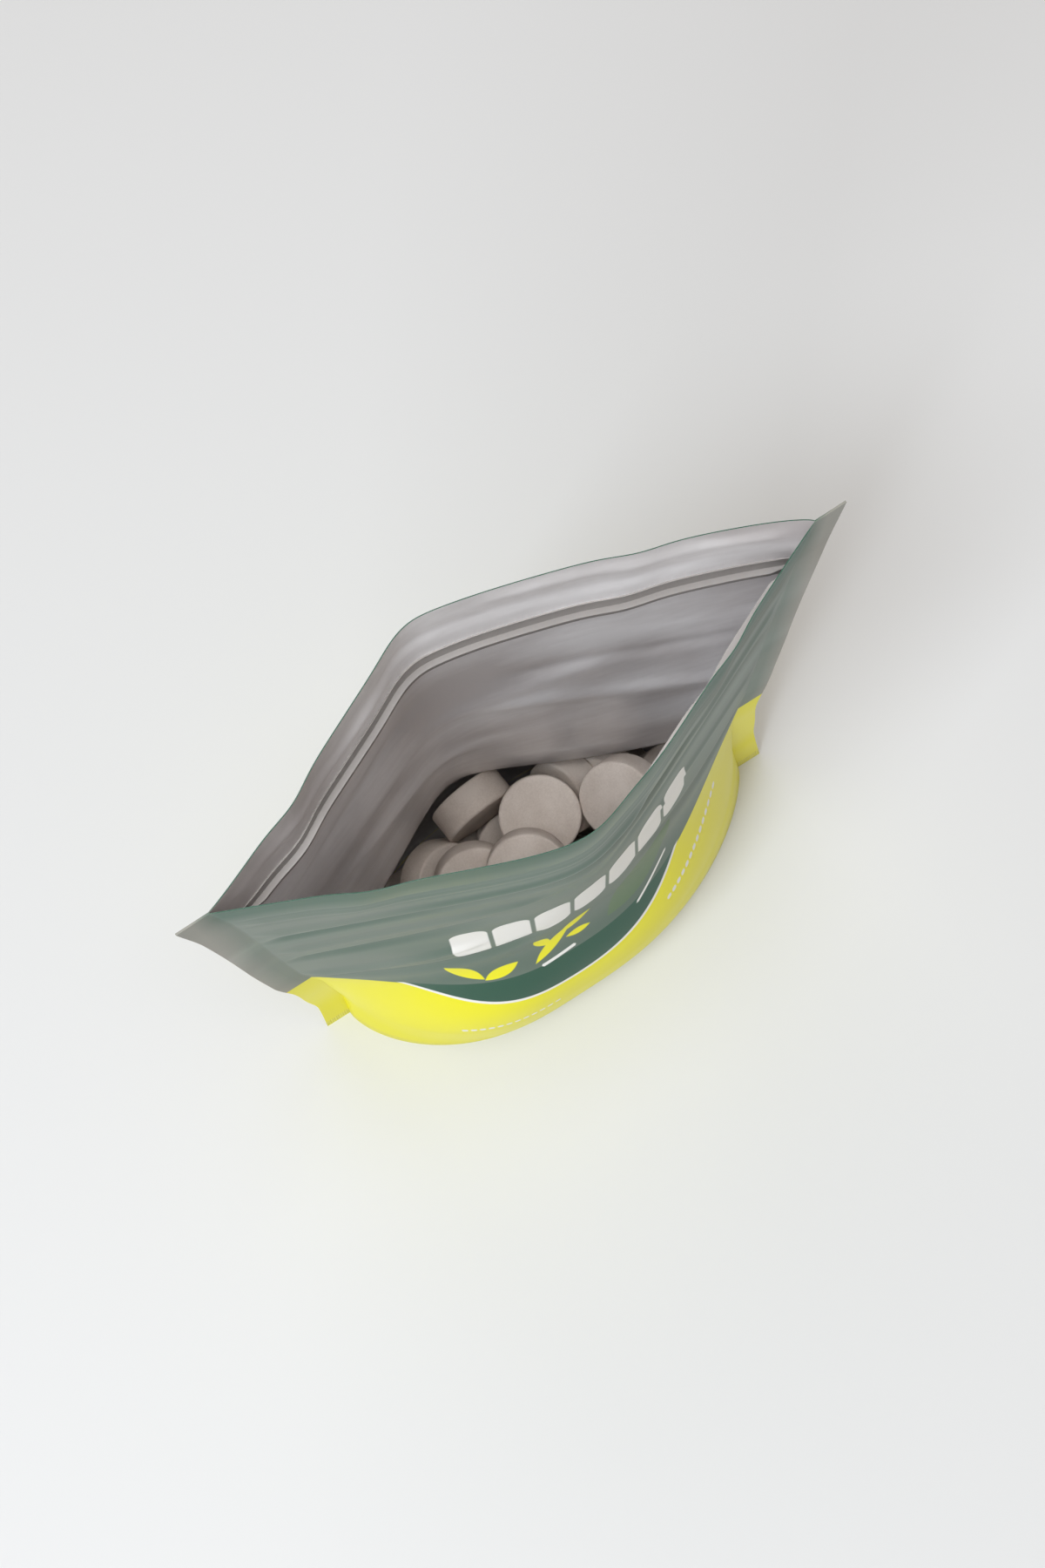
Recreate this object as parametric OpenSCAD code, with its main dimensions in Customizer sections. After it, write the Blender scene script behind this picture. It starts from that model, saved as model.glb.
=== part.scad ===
// Stand-up film bag of pressed cleaning tablets, torn open and pulled wide at the mouth.
// Millimetres, +Z up. X runs along the side-seam line, -Y is the printed front.
// The origin lies on the floor, in the middle of the seam line.

/* [Bag] */
// width of the bag pressed flat, over both side seals
flat_w = 158; // [150:1:172]
// height of the torn top edge over the floor
bag_h = 190; // [180:1:220]
// thickness of one layer of laminated film
film_t = 0.2; // [0.15:0.05:0.4]
// width of the heat seal down each side
side_seal = 7; // [6:0.5:12]
// height of the sealed skirt that the bag stands on
skirt_h = 6; // [4:0.5:8]
// height of the folded end of the bottom gusset at the side seals
gusset_h = 29; // [26:0.5:34]

/* [How far it bulges] */
// how far the bottom edge stands out in front of and behind the seam line
base_out = 28.6; // [27:0.2:34]
// how far the filled belly stands out in front of the seam line
belly_front = 32.5; // [31:0.5:38]
// how far the filled belly stands out behind the seam line
belly_back = 30; // [29:0.5:36]
// height of the widest part of the belly
belly_z = 28; // [24:1:34]
// height of the waist, where the full lower part meets the pulled-open upper part
waist_z = 62; // [58:1:74]
// how far the front stands out at the waist
waist_front = 24; // [22:0.5:28]
// how far the back stands out at the waist
waist_back = 23; // [21:0.5:28]
// how far the front lip of the mouth is pulled out
mouth_front = 26; // [18:0.5:34]
// how far the back lip of the mouth is pulled out
mouth_back = 25; // [18:0.5:34]
// how much higher the front's waist crease runs in the middle, where the tablets push it out
front_lift = 20; // [14:1:24]

/* [Zip] */
// distance from the torn edge down to the middle of the zip
zip_drop = 22; // [16:1:35]
// width of the tape that carries each half of the zip
zip_tape_w = 8; // [6:0.5:12]
// thickness of the tape
zip_tape_t = 0.3; // [0.2:0.05:0.5]
// height of the ridge and of the groove's lips over the film
zip_ridge_h = 1.6; // [1.2:0.1:2.2]
// width of the ridge that presses into the groove
zip_ridge_w = 1.2; // [0.8:0.1:1.8]
// free width on each side of the ridge when it sits in the groove
zip_clear = 0.15; // [0.05:0.05:0.3]

/* [Tablets] */
// diameter of one pressed tablet
tablet_d = 20; // [17:0.5:20.5]
// thickness of one pressed tablet
tablet_h = 8; // [6:0.5:8.5]
// bevel round both edges of a tablet
tablet_bevel = 0.7; // [0.3:0.1:1.5]
// free space left between the edges of neighbouring tablets
tablet_gap = 0.3; // [0.2:0.1:0.6]

/* [Hidden] */
$fn = 64;

film_green = "#3a5a4c";
film_lime = "#d5d845";
tape_grey = "#a9a6a6";
tablet_cream = "#cbbfb4";

// The bag's opened shape.

// Heights at which the section of the bag is set: base, belly, waist, middle, zip, torn edge.
zip_z = bag_h - zip_drop;
levels = [0, belly_z, waist_z, (waist_z + zip_z) / 2, zip_z, bag_h];

front_out = [base_out, belly_front, waist_front, mouth_front - 2.5, mouth_front - 0.5, mouth_front];
back_out = [base_out, belly_back, waist_back, mouth_back - 5, mouth_back - 2, mouth_back];

// Shape of the front and the back section at each level:
// [place of the peak, softness of the peak, roundness, fullness to the left, fullness to the right].
front_shape = [
    [-0.15, 0.50, 1.6, 0.62, 0.76],
    [-0.15, 0.50, 1.6, 0.70, 0.80],
    [-0.05, 0.35, 1.3, 1.00, 1.00],
    [0.00, 0.20, 1.0, 1.05, 1.05],
    [0.00, 0.15, 1.0, 1.00, 1.05],
    [0.00, 0.15, 1.0, 1.00, 1.05]
];
back_shape = [
    [0.00, 0.50, 1.5, 0.70, 0.60],
    [0.00, 0.50, 1.5, 0.70, 0.60],
    [-0.12, 0.12, 1.0, 1.30, 1.50],
    [-0.12, 0.12, 1.0, 1.15, 1.10],
    [-0.10, 0.12, 1.0, 1.12, 0.85],
    [-0.08, 0.12, 1.0, 1.12, 0.80]
];

// Film that small creases take up at each level, so that it doesn't widen the section.
creased = [0, 2, 12, 9, 5, 2];
// How far the seam line has swung to the right at each level.
sway = [1, 0, -1.5, 0, 0.5, 0];
// How far the left and the right seam have swung to the front at each level.
lean_left = [0, 0, 0, -2, -5, -6];
lean_right = [0, 0, 0, -1, -3, -3.5];

// A smooth curve through one value per level, without overshoot.
function slope(ys, i) = (ys[i + 1] - ys[i]) / (levels[i + 1] - levels[i]);
function tangent(ys, i) =
    i == 0 ? slope(ys, 0) :
    i == len(ys) - 1 ? slope(ys, i - 1) :
    let (a = slope(ys, i - 1), b = slope(ys, i))
    a * b <= 0 ? 0 : 2 * a * b / (a + b);
function span(z, i = 0) = i >= len(levels) - 2 || z < levels[i + 1] ? i : span(z, i + 1);
function at_level(ys, z) =
    let (i = span(z), h = levels[i + 1] - levels[i], f = (z - levels[i]) / h)
    ys[i] * (2 * pow(f, 3) - 3 * f * f + 1)
    + ys[i + 1] * (3 * f * f - 2 * pow(f, 3))
    + h * tangent(ys, i) * (pow(f, 3) - 2 * f * f + f)
    + h * tangent(ys, i + 1) * (pow(f, 3) - f * f);
function column(table, k) = [for (row = table) row[k]];

// Outline of one section: 1 at the peak, falling to 0 at both side seals (t = -1 and t = 1).
function bulge(t, s) =
    let (tau = t < s[0] ? (s[0] - t) / (1 + s[0]) : (t - s[0]) / (1 - s[0]),
         g = (sqrt(tau * tau + s[1] * s[1]) - s[1]) / (sqrt(1 + s[1] * s[1]) - s[1]))
    pow(max(0, 1 - pow(g, s[2])), t < s[0] ? s[3] : s[4]);
function shape_at(table, z) = [for (k = [0:4]) at_level(column(table, k), z)];

// The front's waist crease arches over the heap, so its sections come from lower down in the middle.
function lift_share(z) =
    z < waist_z ? pow(sin(90 * z / waist_z), 2)
    : pow(cos(90 * min(1, (z - waist_z) / (1.5 * waist_z))), 2);
function section_z(side, t, z) =
    side > 0 ? z : z - front_lift * (1 - t * t) * lift_share(z);
function out_at(side, t, z) =
    let (zs = section_z(side, t, z))
    side * at_level(side < 0 ? front_out : back_out, zs)
    * bulge(t, shape_at(side < 0 ? front_shape : back_shape, zs));

// Half the distance between the side edges, found so that the film keeps its flat width.
function film_length(side, half, outs) =
    let (inner = half - side_seal)
    2 * side_seal + add([for (i = [1:len(outs) - 1])
        norm([inner * (ts[i] - ts[i - 1]), outs[i] - outs[i - 1]])]);
function add(list) = list * [for (v = list) 1];
function settle(z, outs, half, n = 6) =
    n == 0 ? half :
    let (length = (film_length(-1, half, outs[0]) + film_length(1, half, outs[1])) / 2)
    settle(z, outs, half + 0.5 * (flat_w - at_level(creased, z) - length), n - 1);
function half_width(z) =
    settle(z, [for (side = [-1, 1]) [for (t = ts) out_at(side, t, z)]], flat_w / 2 - 6);

// Places across the bag between the side seals, closer together near them, and rows up the bag.
across = 20;
ts = [for (i = [-across:across]) 0.7 * sin(90 * i / across) + 0.3 * i / across];
zip_low = zip_z - zip_tape_w / 2;
zip_high = zip_z + zip_tape_w / 2;
function steps(a, b, n) = [for (i = [1:n]) a + (b - a) * i / n];
rows = concat([0, skirt_h], steps(skirt_h, waist_z, 6), steps(waist_z, zip_low, 8),
              [zip_high], steps(zip_high, bag_h, 2));
skirt_row = 1;
zip_row = len(rows) - 4;
halves = [for (z = rows) half_width(z)];

// One point on the inner face of a panel; u counts the columns, with the seals as the outer two.
function inner_point(side, r, c) =
    let (z = rows[r],
         n = len(ts) - 1,
         half = halves[r],
         i = min(max(c - 2, 0), n),
         seal = c < 2 ? (2 - c) / 2 : c > n + 2 ? (c - n - 2) / 2 : 0,
         t = ts[i],
         x = t * (half - side_seal) + sign(t) * seal * side_seal,
         f = (x / half + 1) / 2)
    [x + at_level(sway, z),
     out_at(side, t, z) + (1 - f) * at_level(lean_left, z) + f * at_level(lean_right, z),
     z];
columns = len(ts) + 4;
function inner_face(side) =
    [for (r = [0:len(rows) - 1]) [for (c = [0:columns - 1]) inner_point(side, r, c)]];

function unit(v) = v / norm(v);
// The direction out of the bag at one point of an inner face.
function outward(side, face, r, c) =
    let (a = face[r][min(c + 1, columns - 1)] - face[r][max(c - 1, 0)],
         b = face[min(r + 1, len(rows) - 1)][c] - face[max(r - 1, 0)][c])
    -side * unit(cross(a, b));

// Closed shells from grids of points.

function flatten(lists) = [for (l = lists) each l];
// Two triangles for one cell of a grid, split from a to c; flip turns them over.
function cell(a, b, c, d, flip) =
    flip ? [[a, c, b], [a, d, c]] : [[a, b, c], [a, c, d]];
// A film between a lower and an upper grid of equal size. From the row turned on, its cells are
// split the other way, so that a mirrored half meets its neighbour triangle on triangle.
module film(lower, upper, flip, turned = 1000) {
    m = len(lower);
    n = len(lower[0]);
    top = m * n;
    function grid_cell(p, r, over) =
        r < turned ? cell(p, p + 1, p + n + 1, p + n, over) : cell(p + 1, p + n + 1, p + n, p, over);
    polyhedron(
        points = concat(flatten(lower), flatten(upper)),
        faces = concat(
            flatten([for (r = [0:m - 2], c = [0:n - 2])
                grid_cell(r * n + c, r, flip)]),
            flatten([for (r = [0:m - 2], c = [0:n - 2])
                grid_cell(top + r * n + c, r, !flip)]),
            flatten([for (c = [0:n - 2]) cell(c, top + c, top + c + 1, c + 1, flip)]),
            flatten([for (c = [0:n - 2]) let (p = (m - 1) * n + c)
                cell(p, p + 1, p + 1 + top, p + top, flip)]),
            flatten([for (r = [0:m - 2]) let (p = r * n) cell(p, p + n, p + n + top, p + top, flip)]),
            flatten([for (r = [0:m - 2]) let (p = r * n + n - 1)
                cell(p, p + top, p + n + top, p + n, flip)])));
}

// Film panels.

module panel(side) {
    inner = inner_face(side);
    outer = [for (r = [0:len(rows) - 1]) [for (c = [0:columns - 1])
        let (p = inner[r][c] + film_t * outward(side, inner, r, c))
        [p[0], p[1], r == 0 ? 0 : r == len(rows) - 1 ? bag_h : p[2]]]];
    film(inner, outer, side > 0);
}

module front_panel() {
    color(film_green) panel(-1);
}

module back_panel() {
    color(film_green) panel(1);
}

// Bottom gusset.

// Share of the way from the bag's middle to a side seal that the floor stays flat.
floor_flat = 0.62;
// Share of the way from a panel's foot to the middle fold in which the gusset comes down to the floor.
foot_share = 0.2;
// Steps of the gusset's section from each panel in to the middle fold; half of them lead down.
gusset_steps = 6;
// Columns of the panels, counted from each side seal, that the gusset's folded ends leave free.
gusset_skip = 4;

function ridge(t) = gusset_h * pow(max(0, (abs(t) - floor_flat) / (1 - floor_flat)), 1.3);
function gusset_z(t, v) =
    film_t + (skirt_h - film_t) * pow(max(0, 1 - v / foot_share), 1.5) + ridge(t) * pow(v, 1.3);

// Where a column of the panels stands at a height, so that the gusset narrows with them.
half_by_height = [for (r = [0:len(rows) - 1]) [rows[r], halves[r]]];
function column_x(t, z) =
    t * (lookup(z, half_by_height) - side_seal) + at_level(sway, z);

// Share of the way in at which each step lies. The steps down leave room for the fold's two films
// beside each other, also where the bag is narrow.
function step_at(i, reach) =
    let (half = gusset_steps / 2,
         landing = max(foot_share, half * 2.8 * film_t / reach))
    i < half ? landing * (i + 1) / half : 1 - (1 - landing) * (gusset_steps - 1 - i) / half;

// One half of the gusset's section at a column, from a panel's foot in to the middle fold:
// the upper side lies on the panel in the skirt, and the lower side one film below it.
function half_section(side, c, upper) =
    let (foot = inner_point(side, 0, c),
         top = inner_point(side, skirt_row, c),
         t = ts[c - 2],
         mid_y = (inner_point(-1, skirt_row, c)[1] + inner_point(1, skirt_row, c)[1]) / 2,
         reach = abs(top[1] - mid_y),
         steps = [for (i = [0:gusset_steps - 1]) step_at(i, reach)],
         last = steps[gusset_steps - 2],
         steep = (gusset_z(t, 1) - gusset_z(t, last)) / ((1 - last) * reach),
         run = steps[0] * reach,
         drop = skirt_h - gusset_z(t, steps[0]),
         slant = norm([run, drop]),
         corner = film_t * ((1 + drop / slant) * drop + run * run / slant) / run)
    upper ? concat([foot, top], [for (v = steps)
        [column_x(t, gusset_z(t, v)), top[1] + (mid_y - top[1]) * v, gusset_z(t, v)]])
    : concat(
        [foot - [0, side * film_t, 0],
         [column_x(t, skirt_h - corner), top[1] - side * film_t, skirt_h - corner]],
        [for (v = steps)
            let (lean = atan2(gusset_z(t, v) - gusset_z(t, v - 0.06), 0.06 * reach),
                 y = top[1] + (mid_y - top[1]) * v,
                 z = gusset_z(t, v))
            v == 1 ? [column_x(t, z), mid_y, z - film_t * norm([1, steep])] :
            [column_x(t, z),
             y - side * film_t * sin(lean),
             max(0, z - film_t * cos(lean))]]);
function section(c, upper) =
    let (front = half_section(-1, c, upper), back = half_section(1, c, upper))
    concat(front, [for (k = [len(back) - 2:-1:0]) back[k]]);

module bottom_gusset() {
    cols = [for (c = [gusset_skip:columns - 1 - gusset_skip]) c];
    m = 2 * gusset_steps + 3;
    lows = [for (c = cols) section(c, false)];
    tops = [for (c = cols) section(c, true)];
    color(film_lime)
    film([for (k = [0:m - 1]) [for (s = lows) s[k]]],
         [for (k = [0:m - 1]) [for (s = tops) s[k]]], false, turned = gusset_steps + 1);
}

// Press-to-close zip.

// The zip is pressed flat where the two panels run together towards the side seals.
function zip_share(side, c) =
    min(1, abs(out_at(side, ts[c - 2], zip_z)) / (1.5 * zip_ridge_h));

// Sweeps a section, given as [height over the tape's middle, distance off the film], along a panel.
module zip_strip(side, section) {
    inner = inner_face(side);
    cols = [for (c = [3:columns - 4]) c];
    rings = [for (c = cols)
        let (low = inner[zip_row][c],
             high = inner[zip_row + 1][c],
             off = -outward(side, inner, zip_row, c),
             share = zip_share(side, c))
        [for (p = section)
            low + (high - low) * (p[0] / zip_tape_w + 0.5) + off * p[1] * share]];
    n = len(section);
    last = (len(rings) - 1) * n;
    flip = side < 0;
    color(tape_grey)
    polyhedron(
        points = flatten(rings),
        faces = concat(
            flatten([for (r = [0:len(rings) - 2], k = [0:n - 1])
                let (p = r * n + k, q = r * n + (k + 1) % n)
                cell(p, p + n, q + n, q, flip)]),
            [[for (k = [0:n - 1]) flip ? n - 1 - k : k]],
            [[for (k = [0:n - 1]) last + (flip ? k : n - 1 - k)]]));
}

module zip_ridge_strip() {
    w = zip_tape_w / 2;
    r = zip_ridge_w / 2;
    zip_strip(1, [[-w, 0], [w, 0], [w, zip_tape_t], [r, zip_tape_t],
                  [r, zip_ridge_h], [-r, zip_ridge_h], [-r, zip_tape_t], [-w, zip_tape_t]]);
}

module zip_groove_strip() {
    w = zip_tape_w / 2;
    g = zip_ridge_w / 2 + zip_clear;
    l = g + 0.8;
    zip_strip(-1, [[-w, 0], [w, 0], [w, zip_tape_t], [l, zip_tape_t], [l, zip_ridge_h],
                   [g, zip_ridge_h], [g, zip_tape_t], [-g, zip_tape_t], [-g, zip_ridge_h],
                   [-l, zip_ridge_h], [-l, zip_tape_t], [-w, zip_tape_t]]);
}

// Tablets.

module tablet() {
    r = tablet_d / 2;
    color(tablet_cream)
    rotate_extrude()
    polygon([[0, 0], [r - tablet_bevel, 0], [r, tablet_bevel], [r, tablet_h - tablet_bevel],
             [r - tablet_bevel, tablet_h], [0, tablet_h]]);
}

// Distance between the middles of two tablets that lie side by side or lean on each other.
pitch = max(tablet_d, 2.5 * tablet_h) + tablet_gap;
// The settled tablets lie flat in two rows. The lowest layer is shorter, because the floor rises
// towards both ends, and the highest one has a single tablet at each end, where the bag narrows.
row_counts = [3, 4, 4, 3];
settled = [for (layer = [0:len(row_counts) - 1], i = [0:row_counts[layer] - 1], j = [-0.5, 0.5])
    [(i - (row_counts[layer] - 1) / 2) * pitch, j * pitch, film_t + layer * tablet_h, 0, 0]];
top_layer = len(row_counts) - 1;
end_x = ((row_counts[top_layer] - 1) / 2 + sin(60)) * pitch;
ends = [for (side = [-1, 1]) [side * end_x, 0, film_t + top_layer * tablet_h, 0, 0]];
heap_z = film_t + len(row_counts) * tablet_h;

// The loose tablets on top, each given by the place of its middle in pitches over the settled
// ones, its tilt, and the direction that its upper face turns to.
loose = [
    [-0.32, 0.89, 0.86, 93, -84],
    [0.26, 0.26, 1.26, 16, -114],
    [1.19, -0.12, 1.42, 38, -160],
    [-0.25, -0.32, 1.67, 25, -121],
    [-1.13, 0.37, 0.57, 47, -56],
    [-0.82, -0.02, 1.21, 29, -101],
    [-0.12, 0.24, 0.26, 4, -115],
    [0.75, 0.45, 0.62, 60, -174],
    [1.24, 0.21, 0.61, 60, -174],
    [1.95, -0.10, 0.34, 8, -28],
    [0.66, -0.58, 0.26, 4, -117],
    [-0.60, -0.67, 0.28, 10, 60],
    [-2.03, -0.05, 0.26, 8, 100],
    [-0.18, -0.58, 0.69, 4, 80]
];
// Place of the middle of the lower face, tilt and direction of every tablet.
tablets = concat(settled, ends, [for (p = loose)
    concat([p[0] * pitch, p[1] * pitch, heap_z + p[2] * pitch]
           - tablet_h / 2 * [sin(p[3]) * cos(p[4]), sin(p[3]) * sin(p[4]), cos(p[3])],
           [p[3], p[4]])]);

module placed_tablet(k) {
    p = tablets[k];
    translate([p[0], p[1], p[2]]) rotate([0, p[3], p[4]]) tablet();
}

function numbered(k) = str("tablet_", k < 9 ? "0" : "", k + 1);

front_panel();
back_panel();
bottom_gusset();
zip_ridge_strip();
zip_groove_strip();
for (k = [0:len(tablets) - 1])
    placed_tablet(k);
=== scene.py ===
"""Open stand-up film bag of pressed cleaning tablets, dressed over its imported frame.

The film panels, the gusset, the zip and the tablets are modelled here as meshes in metres, in the
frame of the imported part, and each one stands for the solid of the same name.
"""
import logging
import math
from dataclasses import dataclass, field
from enum import Enum
from typing import Optional, Sequence

import bpy
import numpy as np
from mathutils import Matrix, Vector


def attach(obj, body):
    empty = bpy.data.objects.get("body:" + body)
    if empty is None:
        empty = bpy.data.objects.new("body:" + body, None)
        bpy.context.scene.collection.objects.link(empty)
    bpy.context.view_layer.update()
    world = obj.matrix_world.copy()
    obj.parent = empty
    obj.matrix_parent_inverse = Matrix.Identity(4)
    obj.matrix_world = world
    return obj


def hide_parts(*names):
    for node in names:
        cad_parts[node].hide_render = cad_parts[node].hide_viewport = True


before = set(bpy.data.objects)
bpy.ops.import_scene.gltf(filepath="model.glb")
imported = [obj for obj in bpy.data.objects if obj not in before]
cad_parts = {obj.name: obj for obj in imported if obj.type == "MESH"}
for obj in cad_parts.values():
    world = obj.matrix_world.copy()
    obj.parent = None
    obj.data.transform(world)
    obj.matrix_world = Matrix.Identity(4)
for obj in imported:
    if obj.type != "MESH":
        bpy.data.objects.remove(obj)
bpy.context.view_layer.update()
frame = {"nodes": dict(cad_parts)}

log = logging.getLogger("scene")
MM = 0.001
Colour = tuple[float, float, float, float]
Point = tuple[float, float]


# Helpers


def linear(code: str) -> Colour:
    """Turn an sRGB hex value into a linear colour.

    Args:
        code: Six hex digits, with or without a leading #.

    Returns:
        Linear red, green, blue and an alpha of 1.
    """
    parts = [int(code.lstrip("#")[i:i + 2], 16) / 255 for i in (0, 2, 4)]
    curve = [c / 12.92 if c <= 0.04045 else ((c + 0.055) / 1.055) ** 2.4 for c in parts]
    return (curve[0], curve[1], curve[2], 1.0)


def add_node(tree: bpy.types.NodeTree, kind: str, settings: Optional[dict] = None,
             **links: object) -> bpy.types.Node:
    """Add a node with its settings and links.

    Args:
        tree: The node tree.
        kind: The node's type name.
        settings: Attributes of the node.
        links: Inputs by name, with _ for a blank, or as inN for the N-th input; each takes a
            socket to link from, or a plain value.

    Returns:
        The new node.
    """
    node = tree.nodes.new(kind)
    for name, value in (settings or {}).items():
        setattr(node, name, value)
    for name, value in links.items():
        socket = (node.inputs[int(name[2:])] if name[:2] == "in" and name[2:].isdigit()
                  else node.inputs[name.replace("_", " ")])
        if isinstance(value, bpy.types.NodeSocket):
            tree.links.new(value, socket)
        else:
            socket.default_value = value
    return node


def seen_directly(tree: bpy.types.NodeTree) -> bpy.types.NodeSocket:
    """Tell the rays that show a thing, straight or in gloss and glass, from those that light it.

    Args:
        tree: The node tree.

    Returns:
        1 for a camera, glossy or transmission ray, and 0 for the others.
    """
    path = add_node(tree, "ShaderNodeLightPath").outputs
    either = add_node(tree, "ShaderNodeMath", {"operation": "MAXIMUM"},
                      in0=path["Is Camera Ray"], in1=path["Is Glossy Ray"])
    return add_node(tree, "ShaderNodeMath", {"operation": "MAXIMUM"},
                    in0=either.outputs[0], in1=path["Is Transmission Ray"]).outputs[0]


def deselect_all() -> None:
    """Leave nothing selected, so that an operator acts on one new piece only."""
    if bpy.context.object and bpy.context.object.mode != "OBJECT":
        bpy.ops.object.mode_set(mode="OBJECT")
    bpy.ops.object.select_all(action="DESELECT")


def pick(piece: bpy.types.Object) -> None:
    """Make a piece the only one selected, and the active one.

    Args:
        piece: The piece.
    """
    deselect_all()
    piece.select_set(True)
    bpy.context.view_layer.objects.active = piece


def apply_modifier(piece: bpy.types.Object, kind: str, **settings: object) -> None:
    """Add a modifier to a piece and apply it at once.

    Args:
        piece: The piece.
        kind: The modifier's type.
        settings: Attributes of the modifier.
    """
    pick(piece)
    modifier = piece.modifiers.new(kind.title(), kind)
    for name, value in settings.items():
        setattr(modifier, name, value)
    bpy.ops.object.modifier_apply(modifier=modifier.name)


# The bag's opened shape


@dataclass(frozen=True)
class BagShape:
    """Sizes in millimetres of the opened bag, and the sections that follow from them."""

    flat_w: float = 158.0
    bag_h: float = 190.0
    film_t: float = 0.2
    side_seal: float = 7.0
    skirt_h: float = 6.0
    gusset_h: float = 29.0
    base_out: float = 28.6
    belly_front: float = 32.5
    belly_back: float = 30.0
    belly_z: float = 28.0
    waist_z: float = 62.0
    waist_front: float = 24.0
    waist_back: float = 23.0
    mouth_front: float = 26.0
    mouth_back: float = 25.0
    front_lift: float = 20.0
    zip_drop: float = 22.0
    zip_tape_w: float = 8.0
    creased: tuple[float, ...] = (0, 2, 12, 11, 6.5, 2)
    sway: tuple[float, ...] = (1, 0, -1.5, -1, -0.3, 0)
    lean_left: tuple[float, ...] = (0, 0, 0, -2, -5, -6)
    lean_right: tuple[float, ...] = (0, 0, 0, -1, -3, -3.5)
    # Per level: place and softness of the peak, roundness, fullness to the left and right.
    front_shape: tuple[tuple[float, ...], ...] = (
        (-0.15, 0.50, 1.6, 0.62, 0.76), (-0.15, 0.50, 1.6, 0.70, 0.80),
        (-0.05, 0.35, 1.3, 1.00, 1.00), (0.00, 0.20, 1.0, 1.05, 1.05),
        (0.00, 0.15, 1.0, 1.00, 1.05), (0.00, 0.15, 1.0, 1.00, 1.05))
    back_shape: tuple[tuple[float, ...], ...] = (
        (0.00, 0.50, 1.5, 0.70, 0.60), (0.00, 0.50, 1.5, 0.70, 0.60),
        (-0.12, 0.12, 1.0, 1.30, 1.50), (-0.12, 0.12, 1.0, 1.15, 1.10),
        (-0.10, 0.12, 1.0, 1.12, 0.85), (-0.08, 0.12, 1.0, 1.12, 0.80))

    @property
    def zip_z(self) -> float:
        """Height of the middle of the zip.

        Returns:
            The height, in millimetres.
        """
        return self.bag_h - self.zip_drop

    @property
    def levels(self) -> list[float]:
        """Heights of the base, belly, waist, middle, zip and torn edge.

        Returns:
            The heights, in millimetres.
        """
        return [0, self.belly_z, self.waist_z, (self.waist_z + self.zip_z) / 2,
                self.zip_z, self.bag_h]

    def at_level(self, values: Sequence[float], z: np.ndarray) -> np.ndarray:
        """Read a smooth curve through one value per level, without overshoot.

        Args:
            values: One value per level.
            z: Heights to read it at.

        Returns:
            The curve's values.
        """
        zs, ys = np.array(self.levels, float), np.array(values, float)
        step = np.diff(zs)
        slope = np.diff(ys) / step
        tangent = np.concatenate([slope[:1], np.zeros(len(ys) - 2), slope[-1:]])
        for i in range(1, len(ys) - 1):
            a, b = slope[i - 1], slope[i]
            tangent[i] = 0 if a * b <= 0 else 2 * a * b / (a + b)
        i = np.clip(np.searchsorted(zs, z, side="right") - 1, 0, len(zs) - 2)
        h = step[i]
        f = (z - zs[i]) / h
        return (ys[i] * (2 * f**3 - 3 * f**2 + 1) + ys[i + 1] * (3 * f**2 - 2 * f**3)
                + h * tangent[i] * (f**3 - 2 * f**2 + f) + h * tangent[i + 1] * (f**3 - f**2))

    def out_at(self, side: int, t: np.ndarray, z: np.ndarray) -> np.ndarray:
        """Say how far a panel stands out from the seam line.

        Args:
            side: -1 for the front, 1 for the back.
            t: Places between the side seals, from -1 to 1.
            z: Heights.

        Returns:
            Distances along Y, negative to the front.
        """
        if side < 0:
            share = np.where(
                z < self.waist_z, np.sin(np.pi / 2 * np.clip(z / self.waist_z, 0, 1)) ** 2,
                np.cos(np.pi / 2 * np.clip((z - self.waist_z) / (1.5 * self.waist_z), 0, 1)) ** 2)
            z = z - self.front_lift * (1 - t * t) * share
        table = self.front_shape if side < 0 else self.back_shape
        peak, soft, power, left, right = (
            self.at_level([row[k] for row in table], z) for k in range(5))
        tau = np.where(t < peak, (peak - t) / (1 + peak), (t - peak) / (1 - peak))
        g = (np.sqrt(tau**2 + soft**2) - soft) / (np.sqrt(1 + soft**2) - soft)
        bulge = np.maximum(0, 1 - g**power) ** np.where(t < peak, left, right)
        out = ((self.base_out, self.belly_front, self.waist_front, self.mouth_front - 2.5,
                self.mouth_front - 0.5, self.mouth_front) if side < 0 else
               (self.base_out, self.belly_back, self.waist_back, self.mouth_back - 5,
                self.mouth_back - 2, self.mouth_back))
        return side * self.at_level(out, z) * bulge

    def half_width(self, z: float) -> float:
        """Find half the distance between the side edges that keeps the film's flat width.

        Args:
            z: The height.

        Returns:
            The half width, in millimetres.
        """
        across = 20
        ts = np.array([0.7 * math.sin(math.pi / 2 * i / across) + 0.3 * i / across
                       for i in range(-across, across + 1)])
        outs = [self.out_at(side, ts, np.full_like(ts, z)) for side in (-1, 1)]
        half = self.flat_w / 2 - 6
        taken = float(self.at_level(self.creased, np.array([z]))[0])
        for _ in range(6):
            run = np.diff(ts) * (half - self.side_seal)
            length = np.mean([2 * self.side_seal + np.hypot(run, np.diff(o)).sum() for o in outs])
            half += 0.5 * (self.flat_w - taken - length)
        return half

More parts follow.
